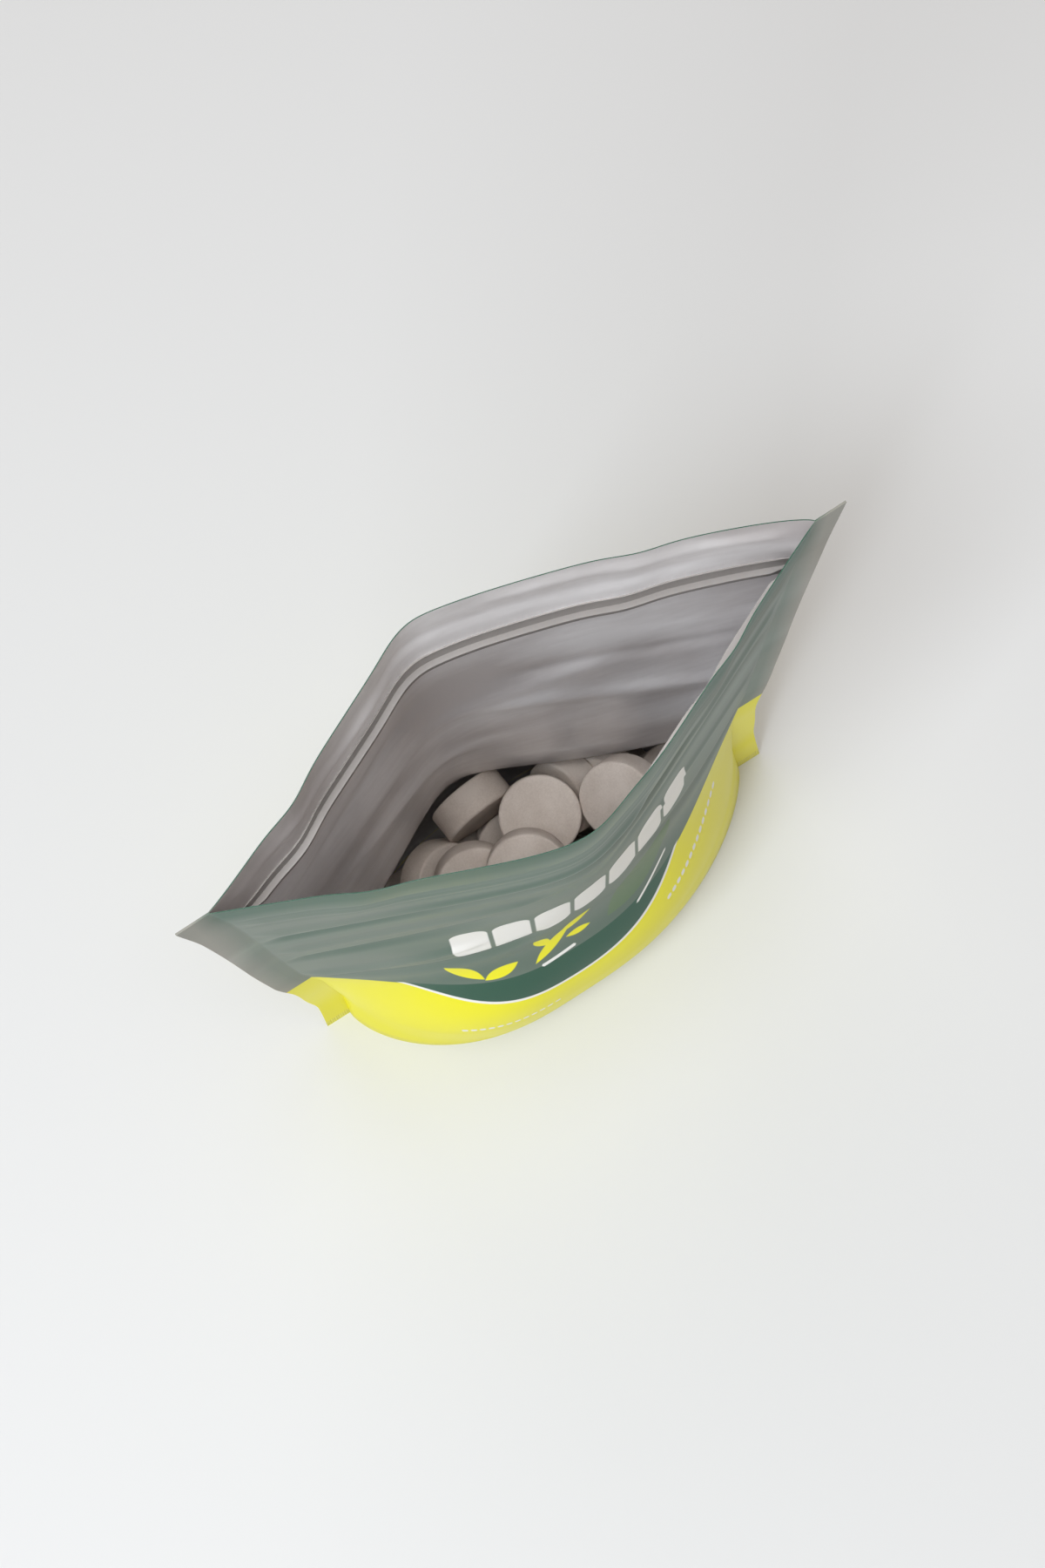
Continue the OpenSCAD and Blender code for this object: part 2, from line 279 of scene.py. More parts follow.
    def surface(self, side: int, u: np.ndarray, z: float) -> np.ndarray:
        """Give points on a panel's inner face at one height.

        Args:
            side: -1 for the front, 1 for the back.
            u: Places across, -1 to 1 between the side seals and up to 2 away at the edges.
            z: The height.

        Returns:
            One row of x, y, z per place, in millimetres.
        """
        half = self.half_width(z)
        t = np.clip(u, -1, 1)
        x = t * (half - self.side_seal) + (u - t) * self.side_seal
        zs = np.full_like(x, z)
        f = (x / half + 1) / 2
        y = (self.out_at(side, t, zs) + (1 - f) * self.at_level(self.lean_left, zs)
             + f * self.at_level(self.lean_right, zs))
        return np.stack([x + self.at_level(self.sway, zs), y, zs], axis=1)


# Finishes


@dataclass(frozen=True)
class BlockRow:
    """A row of equal rounded blocks on the film, in millimetres, which may climb to the right."""

    count: int
    pitch: float
    height: float
    rounding: float
    gap: float
    start: Point
    climb: float


@dataclass(frozen=True)
class Print:
    """Plain shapes printed on the film, in millimetres along the film from its middle line.

    A leaf, a rule and the patch are given by their two ends and half their greatest width, and
    the disc by its middle and its radius.
    """

    band_top: float = 66.0
    disc: tuple[float, float, float] = (-8.0, 123.0, 68.5)
    outline_w: float = 1.1
    rows: tuple[BlockRow, ...] = (
        BlockRow(7, 9.6, 20.0, 3.4, 1.1, (-31.0, 95.0), 0.13),
        BlockRow(12, 2.2, 1.9, 0.6, 0.7, (-39.0, 40.0), 0.0),
        BlockRow(14, 2.2, 1.9, 0.6, 0.7, (22.0, 52.5), 0.1))
    leaves: tuple[tuple[Point, Point, float], ...] = (
        ((-34.0, 77.0), (-26.5, 68.0), 2.2), ((-26.5, 67.5), (-17.5, 72.5), 2.0),
        ((-14.0, 68.5), (-3.0, 79.0), 1.7), ((-9.0, 74.0), (-12.5, 80.5), 1.6),
        ((-6.0, 76.5), (2.5, 81.5), 1.7), ((-5.0, 73.0), (1.5, 72.5), 1.3))
    rules: tuple[tuple[Point, Point, float], ...] = (
        ((-13.0, 66.5), (-3.5, 68.0), 0.6), ((14.0, 65.0), (27.0, 71.0), 0.45))
    patch: tuple[Point, Point, float] = ((6.0, 70.0), (30.0, 84.0), 6.5)
    patch_share: float = 0.55


def new_material(name: str) -> tuple[bpy.types.Material, bpy.types.NodeTree, bpy.types.Node]:
    """Start a material with a Principled shader.

    Args:
        name: The material's name.

    Returns:
        The material, its tree and its shader node.
    """
    material = bpy.data.materials.new(name)
    material.use_nodes = True
    return material, material.node_tree, material.node_tree.nodes["Principled BSDF"]


@dataclass(frozen=True)
class Sums:
    """Short ways to do sums, cut masks and lay colours in one material's tree."""

    tree: bpy.types.NodeTree
    soft: float = 0.15

    def do(self, kind: str, *values: object) -> bpy.types.NodeSocket:
        """Work out one sum.

        Args:
            kind: The operation of the Math node.
            values: Sockets and numbers, in the order of its inputs.

        Returns:
            The result.
        """
        inputs = {f"in{i}": value for i, value in enumerate(values)}
        return add_node(self.tree, "ShaderNodeMath", {"operation": kind}, **inputs).outputs[0]

    def edge(self, distance: bpy.types.NodeSocket,
             soft: Optional[float] = None) -> bpy.types.NodeSocket:
        """Turn a distance into a mask.

        Args:
            distance: The distance to a shape's outline, below 0 inside it.
            soft: Half the width over which the mask fades, or the usual one.

        Returns:
            1 inside the shape and 0 outside.
        """
        fade = self.soft if soft is None else soft
        return add_node(self.tree, "ShaderNodeMapRange", Value=distance,
                        in1=-fade, in2=fade, in3=1.0, in4=0.0).outputs["Result"]

    def over(self, base: bpy.types.NodeSocket, mask: bpy.types.NodeSocket,
             code: str) -> bpy.types.NodeSocket:
        """Lay a colour over another.

        Args:
            base: The colour underneath.
            mask: How far the new colour covers it.
            code: The new colour as an sRGB hex value.

        Returns:
            The mixed colour.
        """
        mix = add_node(self.tree, "ShaderNodeMix", {"data_type": "RGBA"}, in0=mask)
        self.tree.links.new(base, mix.inputs[6])
        mix.inputs[7].default_value = linear(code)
        return mix.outputs[2]


@dataclass(frozen=True)
class PressedTablet:
    """Pressed effervescent powder: dead matt, cream, with a very fine speckled grain."""

    body: str = "#ddd2c8"
    speck: str = "#c8bbb0"
    grain_mm: float = 0.5
    grain_depth_mm: float = 0.15
    cloud_mm: float = 9.0

    def make(self) -> bpy.types.Material:
        """Build the material.

        Returns:
            The material.
        """
        material, tree, shader = new_material("pressed_tablet")
        place = add_node(tree, "ShaderNodeTexCoord").outputs["Object"]
        grain = add_node(tree, "ShaderNodeTexNoise", Vector=place,
                         Scale=1 / (self.grain_mm * MM), Detail=3.0, Roughness=0.7)
        cloud = add_node(tree, "ShaderNodeTexNoise", Vector=place,
                         Scale=1 / (self.cloud_mm * MM), Detail=2.0)
        mixed = add_node(tree, "ShaderNodeMath", {"operation": "MULTIPLY_ADD"},
                         in0=grain.outputs["Fac"], in1=0.6, in2=cloud.outputs["Fac"])
        ramp = add_node(tree, "ShaderNodeValToRGB", Fac=mixed.outputs[0])
        ramp.color_ramp.elements[0].position = 0.55
        ramp.color_ramp.elements[0].color = linear(self.speck)
        ramp.color_ramp.elements[1].position = 0.95
        ramp.color_ramp.elements[1].color = linear(self.body)
        bump = add_node(tree, "ShaderNodeBump", Strength=0.25, Distance=self.grain_depth_mm * MM,
                        Height=grain.outputs["Fac"])
        tree.links.new(ramp.outputs["Color"], shader.inputs["Base Color"])
        tree.links.new(bump.outputs["Normal"], shader.inputs["Normal"])
        shader.inputs["Roughness"].default_value = 0.85
        shader.inputs["Specular IOR Level"].default_value = 0.25
        return material


@dataclass(frozen=True)
class AluminisedFilm:
    """Vacuum-aluminised polyester under a clear sealing layer: satin metal with drawn streaks."""

    bright: str = "#fbf9f9"
    dull: str = "#d2cdcc"
    roughness: float = 0.34
    crease_mm: float = 26.0
    crease_depth_mm: float = 2.2
    scuff_mm: float = 2.6
    scuff_depth_mm: float = 0.08

    def make(self) -> bpy.types.Material:
        """Build the material.

        Returns:
            The material.
        """
        material, tree, shader = new_material("aluminised_film")
        place = add_node(tree, "ShaderNodeUVMap", {"uv_map": "UVMap"}).outputs["UV"]
        # Handling leaves long shallow creases along the bag's width, and fine scuffs on them.
        wide = add_node(tree, "ShaderNodeMapping", Vector=place, Scale=(0.6, 1.0, 1.0))
        crease = add_node(tree, "ShaderNodeTexNoise", Vector=wide.outputs["Vector"],
                          Scale=1 / self.crease_mm, Detail=1.5, Roughness=0.4, Distortion=0.5)
        fine = add_node(tree, "ShaderNodeMapping", Vector=place, Scale=(0.4, 1.0, 1.0))
        scuff = add_node(tree, "ShaderNodeTexNoise", Vector=fine.outputs["Vector"],
                         Scale=1 / self.scuff_mm, Detail=2.0, Roughness=0.5)
        tone = add_node(tree, "ShaderNodeMath", {"operation": "MULTIPLY_ADD"},
                        in0=scuff.outputs["Fac"], in1=0.16, in2=crease.outputs["Fac"])
        ramp = add_node(tree, "ShaderNodeValToRGB", Fac=tone.outputs[0])
        ramp.color_ramp.elements[0].position = 0.42
        ramp.color_ramp.elements[0].color = linear(self.dull)
        ramp.color_ramp.elements[1].position = 0.74
        ramp.color_ramp.elements[1].color = linear(self.bright)
        first = add_node(tree, "ShaderNodeBump", Strength=0.6, Distance=self.crease_depth_mm * MM,
                         Height=crease.outputs["Fac"])
        second = add_node(tree, "ShaderNodeBump", Strength=0.3, Distance=self.scuff_depth_mm * MM,
                          Height=scuff.outputs["Fac"], Normal=first.outputs["Normal"])
        rough = add_node(tree, "ShaderNodeMapRange", Value=crease.outputs["Fac"],
                         in1=0.3, in2=0.7, in3=self.roughness, in4=self.roughness + 0.08)
        tree.links.new(ramp.outputs["Color"], shader.inputs["Base Color"])
        tree.links.new(second.outputs["Normal"], shader.inputs["Normal"])
        tree.links.new(rough.outputs["Result"], shader.inputs["Roughness"])
        shader.inputs["Metallic"].default_value = 0.3
        shader.inputs["Specular IOR Level"].default_value = 0.9
        return material


@dataclass(frozen=True)
class PrintedFilm:
    """Matt-lacquered laminate, printed dark green over lime, with a soft greyish sheen from its
    gloss and pale streaks of painted sheen on the green.
    """

    green: str = "#27513f"
    # Pale grey-green laid in streaks over the green print as painted sheen.
    painted_sheen: str = "#80867d"
    fresh: str = "#5d7a48"
    lime: str = "#ebe400"
    white: str = "#eceae5"
    pressed: str = "#9d978f"
    roughness: float = 0.4
    streak_mm: float = 30.0
    fold_mm: float = 2.0
    seam_s: float = 72.0
    hatch: float = 5.0
    hatch_mm: float = 0.25
    seal_h: float = 6.0
    grip_z: float = 176.0
    blunt: float = 6.0
    layout: Print = field(default_factory=Print)

    def lens(self, sums: Sums, place: bpy.types.NodeSocket, shape: tuple[Point, Point, float],
             blunt: float = 1.0) -> bpy.types.NodeSocket:
        """Mask the inside of a leaf or, where blunt is above 1, of a stroke of even width.

        Args:
            sums: The sums of the material's tree.
            place: Place on the film, in millimetres.
            shape: The two ends and half the greatest width.
            blunt: How fast the shape widens from its ends.

        Returns:
            1 inside the shape and 0 outside.
        """
        (ax, az), (bx, bz), half = shape
        run = math.hypot(bx - ax, bz - az)
        turn = add_node(sums.tree, "ShaderNodeMapping", {"vector_type": "TEXTURE"}, Vector=place,
                        Location=((ax + bx) / 2, (az + bz) / 2, 0.0),
                        Rotation=(0.0, 0.0, math.atan2(bz - az, bx - ax)))
        part = add_node(sums.tree, "ShaderNodeSeparateXYZ", Vector=turn.outputs["Vector"])
        along = sums.do("MULTIPLY", part.outputs["X"], 2 / run)
        left = sums.do("SUBTRACT", 1.0, sums.do("MULTIPLY", along, along))
        room = sums.do("MINIMUM", sums.do("MULTIPLY", left, half * blunt), half)
        return sums.edge(sums.do("SUBTRACT", sums.do("ABSOLUTE", part.outputs["Y"]), room))

    def blocks(self, sums: Sums, s: bpy.types.NodeSocket, z: bpy.types.NodeSocket,
               row: BlockRow) -> bpy.types.NodeSocket:
        """Mask a row of rounded blocks.

        Args:
            sums: The sums of the material's tree.
            s: Place along the film's width, in millimetres.
            z: Height on the film.
            row: The row.

        Returns:
            1 inside the blocks and 0 outside.
        """
        first, middle = row.start
        from_first = sums.do("SUBTRACT", s, first)
        local = sums.do("SUBTRACT", sums.do("FLOORED_MODULO", from_first, row.pitch),
                        row.pitch / 2)
        centre = sums.do("MULTIPLY_ADD", from_first, row.climb, middle)
        half_w = (row.pitch - row.gap) / 2 - row.rounding
        half_h = row.height / 2 - row.rounding
        off = sums.do("ABSOLUTE", sums.do("SUBTRACT", z, centre))
        dx = sums.do("MAXIMUM", sums.do("SUBTRACT", sums.do("ABSOLUTE", local), half_w), 0.0)
        dz = sums.do("MAXIMUM", sums.do("SUBTRACT", off, half_h), 0.0)
        corner = sums.do("SQRT", sums.do("ADD", sums.do("MULTIPLY", dx, dx),
                                         sums.do("MULTIPLY", dz, dz)))
        half_row = row.count * row.pitch / 2
        from_middle = sums.do("ABSOLUTE", sums.do("SUBTRACT", s, first + half_row))
        return sums.do("MULTIPLY", sums.edge(sums.do("SUBTRACT", corner, row.rounding)),
                       sums.edge(sums.do("SUBTRACT", from_middle, half_row)))

    def shapes(self, sums: Sums, colour: bpy.types.NodeSocket, place: bpy.types.NodeSocket,
               s: bpy.types.NodeSocket, z: bpy.types.NodeSocket) -> bpy.types.NodeSocket:
        """Lay the front's printed shapes over its ground colours.

        Args:
            sums: The sums of the material's tree.
            colour: The ground colours.
            place: Place on the film, in millimetres.
            s: Its part along the film's width.
            z: Its height.

        Returns:
            The colours with the shapes on them.
        """
        layout = self.layout
        cs, cz, radius = layout.disc
        ring = add_node(sums.tree, "ShaderNodeVectorMath", {"operation": "DISTANCE"},
                        in0=place, in1=(cs, cz, 0.0)).outputs["Value"]
        from_rim = sums.do("SUBTRACT", ring, radius)
        near = sums.edge(sums.do("SUBTRACT", z, layout.band_top + 0.5))
        colour = sums.over(colour, sums.do("MULTIPLY", sums.edge(from_rim), near), self.green)
        patch = self.lens(sums, place, layout.patch)
        colour = sums.over(colour, sums.do("MULTIPLY", patch, layout.patch_share), self.fresh)
        line = sums.edge(sums.do("SUBTRACT", sums.do("ABSOLUTE", from_rim), layout.outline_w / 2))
        colour = sums.over(colour, sums.do("MULTIPLY", line, near), self.white)
        for leaf in layout.leaves:
            colour = sums.over(colour, self.lens(sums, place, leaf), self.lime)
        for rule in layout.rules:
            colour = sums.over(colour, self.lens(sums, place, rule, self.blunt), self.white)
        for row in layout.rows:
            colour = sums.over(colour, self.blocks(sums, s, z, row), self.white)
        return colour

    def make(self, printed: bool, name: str) -> bpy.types.Material:
        """Build the material.

        Args:
            printed: Whether the white and yellow shapes are on this film.
            name: The material's name.

        Returns:
            The material.
        """
        material, tree, shader = new_material(name)
        sums = Sums(tree)
        place = add_node(tree, "ShaderNodeUVMap", {"uv_map": "UVMap"}).outputs["UV"]
        split = add_node(tree, "ShaderNodeSeparateXYZ", Vector=place)
        s, z = split.outputs["X"], split.outputs["Y"]

        ground = add_node(tree, "ShaderNodeMix", {"data_type": "RGBA"},
                          in0=sums.edge(sums.do("SUBTRACT", z, self.layout.band_top)))
        ground.inputs[6].default_value = linear(self.green)
        ground.inputs[7].default_value = linear(self.lime)
        # Long pale streaks of painted sheen, standing in for the lacquer's satin reflections, lie
        # on the green but not on the zip's grip above.
        drawn = add_node(tree, "ShaderNodeMapping", Vector=place, Scale=(0.4, 1.0, 1.0))
        crease = add_node(tree, "ShaderNodeTexNoise", Vector=drawn.outputs["Vector"],
                          Scale=1 / self.streak_mm, Detail=1.2, Roughness=0.35, Distortion=0.35)
        streak = add_node(tree, "ShaderNodeMapRange", {"interpolation_type": "SMOOTHSTEP"},
                          Value=crease.outputs["Fac"], in1=0.34, in2=0.66, in3=0.32, in4=0.78)
        green_part = sums.edge(sums.do("SUBTRACT", self.layout.band_top, z))
        grip = sums.edge(sums.do("SUBTRACT", z, self.grip_z), 7.0)
        painted_sheen_mask = sums.do("MULTIPLY", sums.do("MULTIPLY", green_part, grip),
                          streak.outputs["Result"])
        colour = sums.over(ground.outputs[2], painted_sheen_mask, self.painted_sheen)
        # The heat-pressed side seals are paler and smoother than the free film.
        seam = sums.edge(sums.do("SUBTRACT", self.seam_s, sums.do("ABSOLUTE", s)), 2.5)
        colour = sums.over(colour, sums.do("MULTIPLY", sums.do("MULTIPLY", seam, green_part),
                                           0.75), self.pressed)
        if printed:
            colour = self.shapes(sums, colour, place, s, z)
        bump = add_node(tree, "ShaderNodeBump", Strength=0.6, Distance=self.fold_mm * MM,
                        Height=crease.outputs["Fac"])
        # The jaws of the bottom seal leave a crossed hatching in the film.
        up, down = (sums.do("SINE", sums.do("MULTIPLY", sums.do(kind, s, z), self.hatch))
                    for kind in ("ADD", "SUBTRACT"))
        sealed = sums.edge(sums.do("SUBTRACT", z, self.seal_h), 0.3)
        embossed = add_node(tree, "ShaderNodeBump", Strength=0.6, Distance=self.hatch_mm * MM,
                            Height=sums.do("MULTIPLY", sums.do("MULTIPLY", up, down), sealed),
                            Normal=bump.outputs["Normal"])
        gloss = add_node(tree, "ShaderNodeMapRange", Value=crease.outputs["Fac"],
                         in1=0.35, in2=0.65, in3=self.roughness - 0.07, in4=self.roughness + 0.1)
        colour = sums.over(colour, sums.do("MULTIPLY", sealed, 0.12), self.white)
        tree.links.new(colour, shader.inputs["Base Color"])
        tree.links.new(embossed.outputs["Normal"], shader.inputs["Normal"])
        tree.links.new(gloss.outputs["Result"], shader.inputs["Roughness"])
        shader.inputs["Specular IOR Level"].default_value = 0.3
        return material


@dataclass(frozen=True)
class ZipTape:
    """Extruded translucent polyethylene over the aluminised film: a greyish soft gloss."""

    colour: str = "#96918e"

    def make(self) -> bpy.types.Material:
        """Build the material.

        Returns:
            The material.
        """
        material, tree, shader = new_material("zip_tape")
        place = add_node(tree, "ShaderNodeTexCoord").outputs["Object"]
        drawn = add_node(tree, "ShaderNodeTexNoise", Vector=add_node(
            tree, "ShaderNodeMapping", Vector=place, Scale=(0.05, 0.05, 1.0)).outputs["Vector"],
            Scale=1 / (0.6 * MM), Detail=2.0)
        bump = add_node(tree, "ShaderNodeBump", Strength=0.2, Distance=0.1 * MM,
                        Height=drawn.outputs["Fac"])
        tree.links.new(bump.outputs["Normal"], shader.inputs["Normal"])
        shader.inputs["Base Color"].default_value = linear(self.colour)
        shader.inputs["Metallic"].default_value = 0.45
        shader.inputs["Roughness"].default_value = 0.42
        return material


# Pieces


class Side(Enum):
    """Which panel of the bag a piece belongs to."""

    FRONT = -1
    BACK = 1


@dataclass(frozen=True)
class Fold:
    """One small fold in a film, as a ridge along a line, in millimetres over the film.

    The line runs from one place to another; a height above 0 lifts the film outward.
    """

    start: Point
    end: Point
    height: float
    width: float

    def lift(self, s: np.ndarray, z: np.ndarray) -> np.ndarray:
        """Say how far the fold moves points of the film.

        Args:
            s: Places along the film's width.
            z: Heights.

        Returns:
            Distances outward, falling off across the fold and towards its ends.
        """
        ax, az = self.start
        bx, bz = self.end
        run = math.hypot(bx - ax, bz - az)
        along = ((s - ax) * (bx - ax) + (z - az) * (bz - az)) / run
        across = ((s - ax) * (bz - az) - (z - az) * (bx - ax)) / run
        past = np.maximum(0, np.maximum(-along, along - run))
        return self.height * np.exp(-(across / self.width)**2 - (past / (3 * self.width))**2)


@dataclass(frozen=True)
class FilmPanel:
    """One film panel: a grid laid on the bag's opened surface, with its folds, and thickened."""

    shape: BagShape
    side: Side
    node: str
    folds: tuple[Fold, ...] = ()
    seal_columns: int = 12
    body_columns: int = 200
    rows: int = 230
    # Folds fade out in this share of the width at each seal, and in these millimetres at the foot.
    seal_calm: float = 0.08
    foot_calm: float = 12.0

    def places_across(self) -> np.ndarray:
        """Give the columns' places across, closer together near the side seals.

        Returns:
            The places, as BagShape.surface takes them.
        """
        share = np.linspace(-1, 1, self.body_columns + 1)
        body = 0.7 * np.sin(np.pi / 2 * share) + 0.3 * share
        seal = np.linspace(1, 2, self.seal_columns + 1)[1:]
        return np.concatenate([-seal[::-1], body, seal])

    def laid(self, us: np.ndarray, zs: np.ndarray) -> tuple[np.ndarray, np.ndarray, np.ndarray]:
        """Lay the film's inner face on the opened surface, folds included.

        Args:
            us: Places across, as BagShape.surface takes them.
            zs: Heights, in millimetres.

        Returns:
            Points in millimetres, directions out of the bag, and places along the film's
            width from its middle line, each by row and column.
        """
        points = np.stack([self.shape.surface(self.side.value, us, z) for z in zs])
        steps = np.linalg.norm(np.diff(points, axis=1), axis=2)
        s = np.concatenate([np.zeros((len(zs), 1)), np.cumsum(steps, axis=1)], axis=1)
        s -= np.array([np.interp(0, us, row) for row in s])[:, None]
        out = self.outward(points)
        free = (np.clip((1 - np.abs(us)) / self.seal_calm, 0, 1)[None, :]
                * np.clip(zs / self.foot_calm, 0, 1)[:, None])
        z = np.broadcast_to(zs[:, None], s.shape)
        lift = sum((fold.lift(s, z) for fold in self.folds), np.zeros_like(s))
        points = points + out * (lift * free)[:, :, None]
        return points, self.outward(points), s

    def outward(self, points: np.ndarray) -> np.ndarray:
        """Give the direction out of the bag at each point of a laid grid.

        Args:
            points: The grid's points, by row and column.

        Returns:
            One unit vector per point.
        """
        across = np.gradient(points, axis=1)
        up = np.gradient(points, axis=0)
        out = -self.side.value * np.cross(across, up)
        return out / np.linalg.norm(out, axis=2, keepdims=True)

    def build(self, outside: bpy.types.Material, inside: bpy.types.Material) -> bpy.types.Object:
        """Model the panel and dress both of its faces.

        Args:
            outside: The print's material.
            inside: The bare inner side's material, also shown by the cut edges.

        Returns:
            The panel.
        """
        us = self.places_across()
        zs = np.linspace(0, self.shape.bag_h, self.rows + 1)
        points, _, s = self.laid(us, zs)
        deselect_all()
        bpy.ops.mesh.primitive_grid_add(x_subdivisions=len(us) - 1, y_subdivisions=len(zs) - 1,
                                        size=2.0)
        piece = bpy.context.object
        piece.name = f"film_{self.side.name.lower()}"
        mesh = piece.data
        mesh.vertices.foreach_set("co", (points * MM).astype(np.float32).ravel())
        film = np.stack([s, np.broadcast_to(zs[:, None], s.shape)], axis=2).reshape(-1, 2)
        corner = np.empty(len(mesh.loops), np.int32)
        mesh.loops.foreach_get("vertex_index", corner)
        mesh.uv_layers["UVMap"].data.foreach_set("uv", film[corner].astype(np.float32).ravel())
        if self.side is Side.BACK:
            bpy.ops.object.mode_set(mode="EDIT")
            bpy.ops.mesh.select_all(action="SELECT")
            bpy.ops.mesh.flip_normals()
            bpy.ops.object.mode_set(mode="OBJECT")
        mesh.materials.append(outside)
        mesh.materials.append(inside)
        apply_modifier(piece, "SOLIDIFY", thickness=self.shape.film_t * MM, offset=1.0,
                       material_offset=1, material_offset_rim=0)
        bpy.ops.object.shade_smooth_by_angle(angle=math.radians(50))
        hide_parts(self.node)
        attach(piece, "root")
        return piece


@dataclass(frozen=True)
class Gusset:
    """The W-folded film floor: a skirt up each panel, and a fold that rises to both ends."""

    shape: BagShape
    node: str = "bottom_gusset"
    floor_flat: float = 0.62
    foot_share: float = 0.2
    # Film thicknesses between a panel's foot and where the floor lands, so that the fold is open.
    fold_room: float = 8.4
    reach_across: float = 0.955
    columns: int = 90
    steps: int = 14

    def height(self, t: float, v: np.ndarray) -> np.ndarray:
        """Give the floor film's height from a panel in to the middle fold.

        Args:
            t: The column's place between the side seals, from -1 to 1.
            v: Places from 0 at the panel to 1 at the middle fold.

        Returns:
            The heights, in millimetres.
        """
        film_t, skirt_h = self.shape.film_t, self.shape.skirt_h
        ridge = self.shape.gusset_h * (max(0.0, abs(t) - self.floor_flat)
                                       / (1 - self.floor_flat))**1.3
        drop = np.maximum(0, 1 - v / self.foot_share)**1.5
        return film_t + (skirt_h - film_t) * drop + ridge * v**1.3

    def half_section(self, side: Side, t: float) -> np.ndarray:
        """Give one half of the section at a column, from a panel's foot in to the middle fold.

        Args:
            side: The panel that the half starts from.
            t: The column's place between the side seals, from -1 to 1.

        Returns:
            One row of x, y, z per point, in millimetres.
        """
        shape = self.shape
        u = np.array([t])
        heights = np.linspace(0, shape.skirt_h - 0.3, 5)
        skirt = np.concatenate([shape.surface(side.value, u, z) for z in heights])
        top = shape.surface(side.value, u, shape.skirt_h)[0]
        other = shape.surface(-side.value, u, shape.skirt_h)[0]
        middle = (top[1] + other[1]) / 2
        landing = max(self.foot_share, self.fold_room * shape.film_t / abs(top[1] - middle))
        vs = np.concatenate([np.linspace(0, landing, self.steps // 2 + 1)[:-1],
                             np.linspace(landing, 1, self.steps // 2 + 1)])
        zs = self.height(t, vs)
        xs = np.interp(zs, heights, skirt[:, 0])
        floor = np.stack([xs, top[1] + (middle - top[1]) * vs, zs], axis=1)
        return np.concatenate([skirt, floor])

    def build(self, outside: bpy.types.Material, inside: bpy.types.Material) -> bpy.types.Object:
        """Model the gusset and dress both of its faces.

        Args:
            outside: The print's material, underneath.
            inside: The bare inner side's material, on top and on the cut edges.

        Returns:
            The gusset.
        """
        ts = np.linspace(-self.reach_across, self.reach_across, self.columns + 1)
        sections = []
        for t in ts:
            front = self.half_section(Side.FRONT, float(t))
            back = self.half_section(Side.BACK, float(t))
            sections.append(np.concatenate([front, back[-2::-1]]))
        points = np.stack(sections, axis=1)
        deselect_all()
        bpy.ops.mesh.primitive_grid_add(x_subdivisions=points.shape[1] - 1,
                                        y_subdivisions=points.shape[0] - 1, size=2.0)
        piece = bpy.context.object
        piece.name = "film_gusset"
        piece.data.vertices.foreach_set("co", (points * MM).astype(np.float32).ravel())
        piece.data.materials.append(inside)
        piece.data.materials.append(outside)
        apply_modifier(piece, "SOLIDIFY", thickness=self.shape.film_t * MM, offset=-1.0,
                       material_offset=1)
        bpy.ops.object.shade_smooth_by_angle(angle=math.radians(50))
        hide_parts(self.node)
        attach(piece, "root")
        return piece


@dataclass(frozen=True)
class ZipStrip:
    """One half of the press-to-close zip: an extruded strip welded inside a panel."""

    panel: FilmPanel
    node: str
    profile: tuple[Point, ...]
    columns: int = 160
    reach_across: float = 0.99
    pressed_from: float = 2.4

    def build(self, tape: bpy.types.Material) -> bpy.types.Object:
        """Sweep the profile along the panel and dress it.

        Args:
            tape: The strip's material.

        Returns:
            The strip.
        """
        shape = self.panel.shape
        us = np.linspace(-1, 1, self.columns + 1)
        us = self.reach_across * (0.7 * np.sin(np.pi / 2 * us) + 0.3 * us)
        half = shape.zip_tape_w / 2
        zs = np.array([shape.zip_z - half, shape.zip_z, shape.zip_z + half])
        points, out, _ = self.panel.laid(us, zs)
        stand = np.abs(shape.out_at(self.panel.side.value, us, np.full_like(us, shape.zip_z)))
        share = np.minimum(1, stand / self.pressed_from)[:, None, None]
        low, high, off = points[0][:, None], points[2][:, None], -out[1][:, None]
        over = np.array([p[0] / shape.zip_tape_w + 0.5 for p in self.profile])[None, :, None]
        deep = np.array([p[1] for p in self.profile])[None, :, None]
        rings = low + (high - low) * over + off * deep * share
        count = len(self.profile)
        walls = [(a, b, b + count, a + count)
                 for ring in range(len(us) - 1) for k in range(count)
                 for a, b in [(ring * count + k, ring * count + (k + 1) % count)]]
        total = len(us) * count
        ends = [tuple(range(count)), tuple(range(total - 1, total - count - 1, -1))]
        mesh = bpy.data.meshes.new(f"zip_{self.panel.side.name.lower()}")
        mesh.from_pydata((rings.reshape(-1, 3) * MM).tolist(), [], walls + ends)
        piece = bpy.data.objects.new(mesh.name, mesh)
        bpy.context.collection.objects.link(piece)
        mesh.materials.append(tape)
        pick(piece)
        bpy.ops.object.mode_set(mode="EDIT")
        bpy.ops.mesh.select_all(action="SELECT")
        bpy.ops.mesh.normals_make_consistent(inside=False)
        bpy.ops.object.mode_set(mode="OBJECT")
        bpy.ops.object.shade_smooth_by_angle(angle=math.radians(35))
        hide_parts(self.node)
        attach(piece, "root")
        return piece


